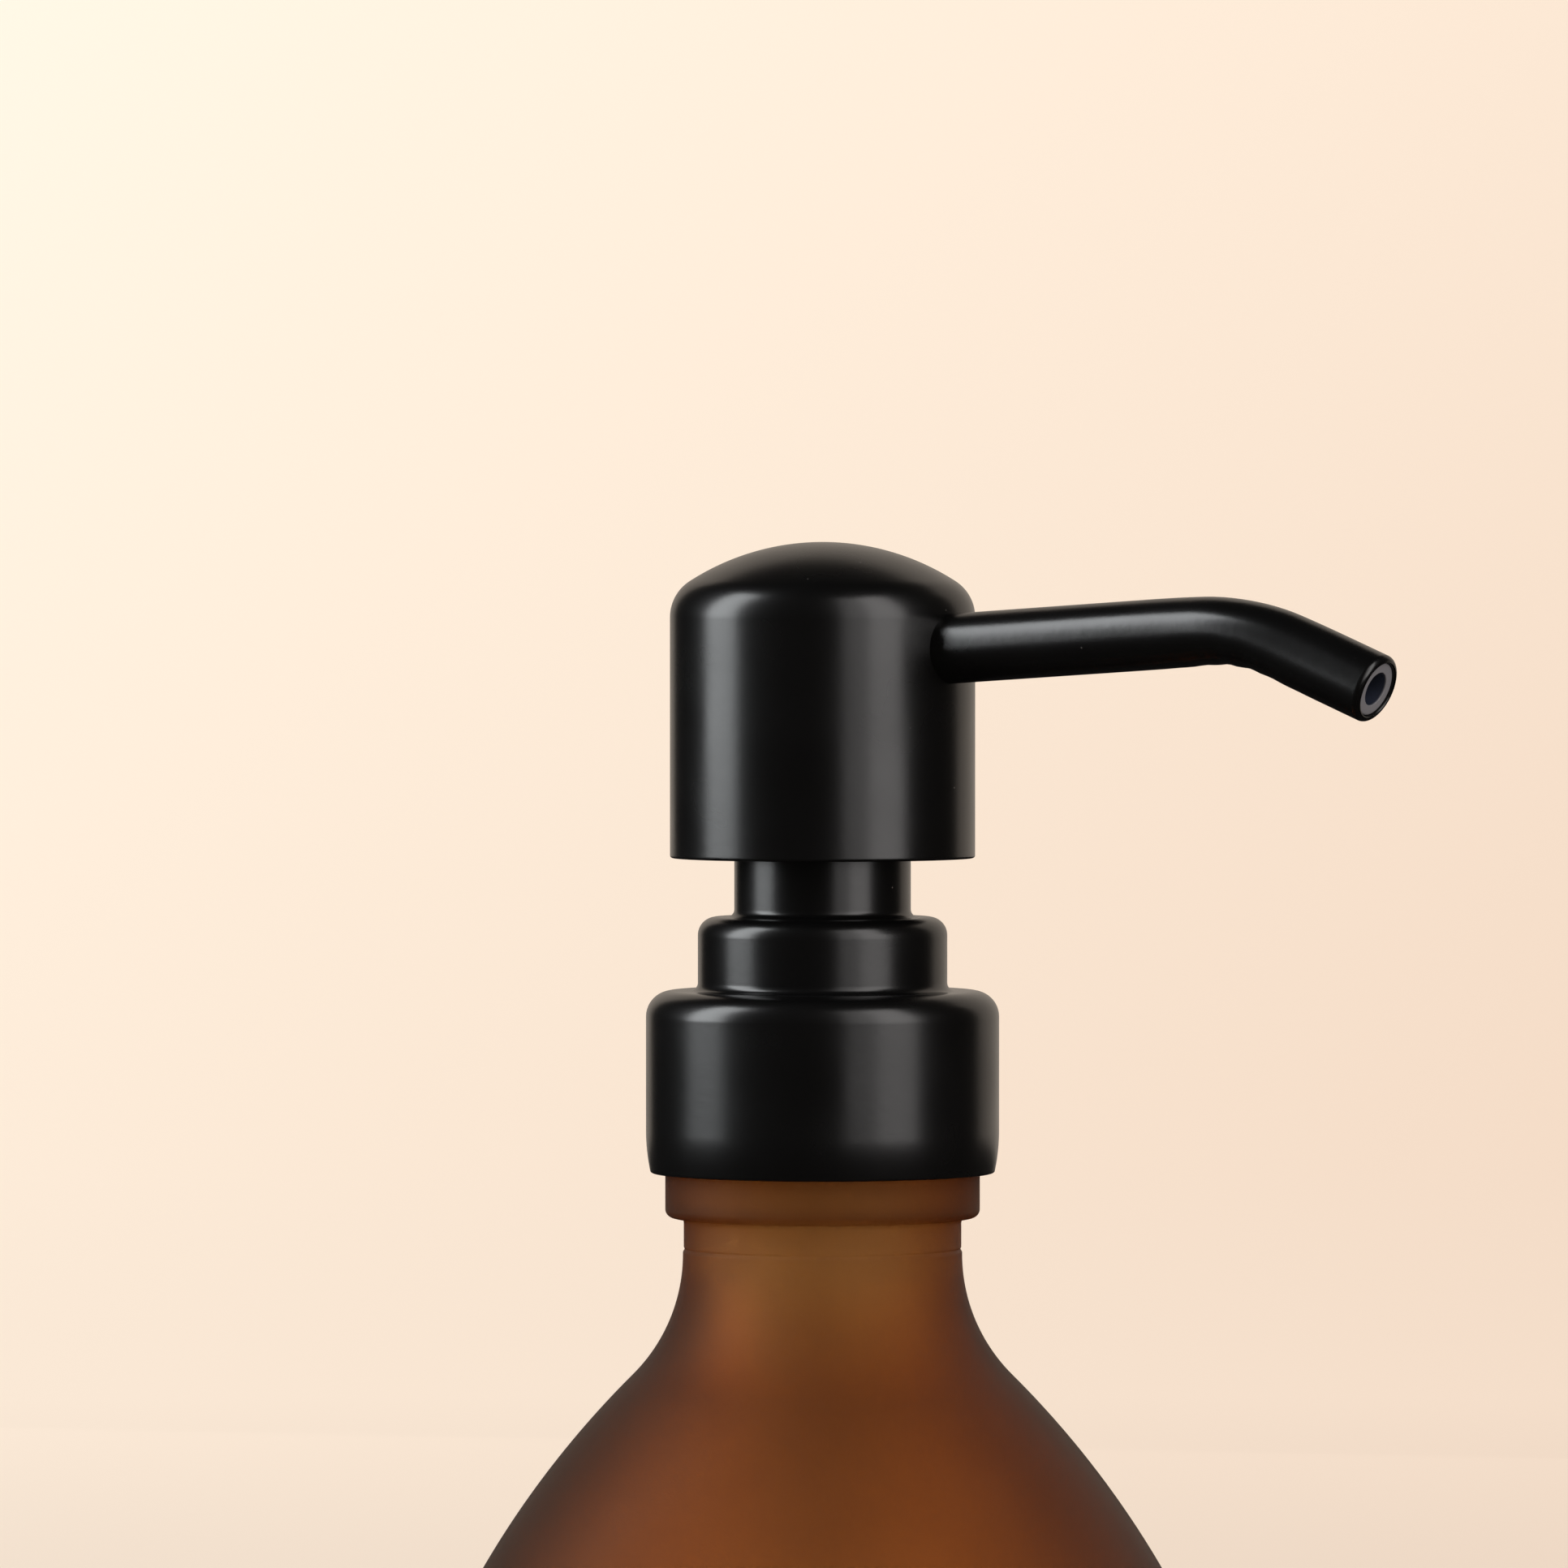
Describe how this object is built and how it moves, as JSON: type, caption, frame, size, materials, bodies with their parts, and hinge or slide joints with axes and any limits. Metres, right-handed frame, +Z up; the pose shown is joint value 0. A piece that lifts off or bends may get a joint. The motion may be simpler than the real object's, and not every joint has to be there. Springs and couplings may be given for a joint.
{
  "type": "soap pump dispenser",
  "caption": "Frosted amber glass bottle with a black metal-clad lotion pump: domed press head, bent spout, stepped screw collar and a full spring pump engine inside.",
  "frame": {"origin": "centre of the ring that the bottle stands on, on the bottle's axis, in the plane it rests on", "axes": "+Z up along the bottle's axis, +X along the spout at rest"},
  "size_m": [0.1009, 0.08, 0.2147],
  "materials": {
    "frosted_glass": "acid-etched matt amber glass",
    "black_paint": "satin black enamel on pressed metal",
    "black_plastic": "moulded",
    "natural_plastic": "moulded polypropylene",
    "clear_plastic": "extruded polyethylene",
    "piston_plastic": "moulded polyethylene",
    "grey_plastic": "extruded, satin",
    "foam": "foamed polyethylene",
    "seal_rubber": "moulded",
    "ball_steel": "polished stainless",
    "spring_steel": "drawn stainless wire"
  },
  "bodies": {
    "bottle": {"bottle": "frosted_glass"},
    "pump_engine": {"pump_housing": "natural_plastic", "neck_gasket": "foam", "chaplet": "natural_plastic", "stem_seal": "seal_rubber", "dip_tube": "clear_plastic", "spring": "spring_steel"},
    "closure": {"collar_shell": "black_paint", "closure_nut": "natural_plastic"},
    "plunger": {"stem": "natural_plastic", "poppet": "natural_plastic"},
    "head": {"head_shell": "black_paint", "head_core": "black_plastic", "spout_tube": "black_paint", "spout_liner": "grey_plastic"},
    "piston": {"piston": "piston_plastic"},
    "ball": {"inlet_ball": "ball_steel"}
  },
  "joints": [
    {"name": "pump_rise", "type": "slide", "parent": "bottle", "child": "pump_engine", "axis": [0, 0, 1], "range_m": [0, 0.00635]},
    {"name": "closure_turn", "type": "hinge", "parent": "pump_engine", "child": "closure", "pos_m": [0, 0, 0.165], "axis": [0, 0, 1], "range_deg": [0, 541]},
    {"name": "head_press", "type": "slide", "parent": "pump_engine", "child": "plunger", "axis": [0, 0, 1], "range_m": [-0.0105, 0], "stiffness_N_per_m": 1200, "springref_m": 0.01, "deforming": ["spring"]},
    {"name": "head_swivel", "type": "hinge", "parent": "plunger", "child": "head", "pos_m": [0, 0, 0.2], "axis": [0, 0, 1], "continuous": true},
    {"name": "piston_float", "type": "slide", "parent": "plunger", "child": "piston", "axis": [0, 0, 1], "range_m": [0, 0.0009]},
    {"name": "ball_lift", "type": "slide", "parent": "pump_engine", "child": "ball", "axis": [0, 0, 1], "range_m": [0, 0.0015]}
  ],
  "couplings": [
    {"joint": "closure_turn", "follows": "pump_rise", "rad_per_m": 1484.2}
  ]
}
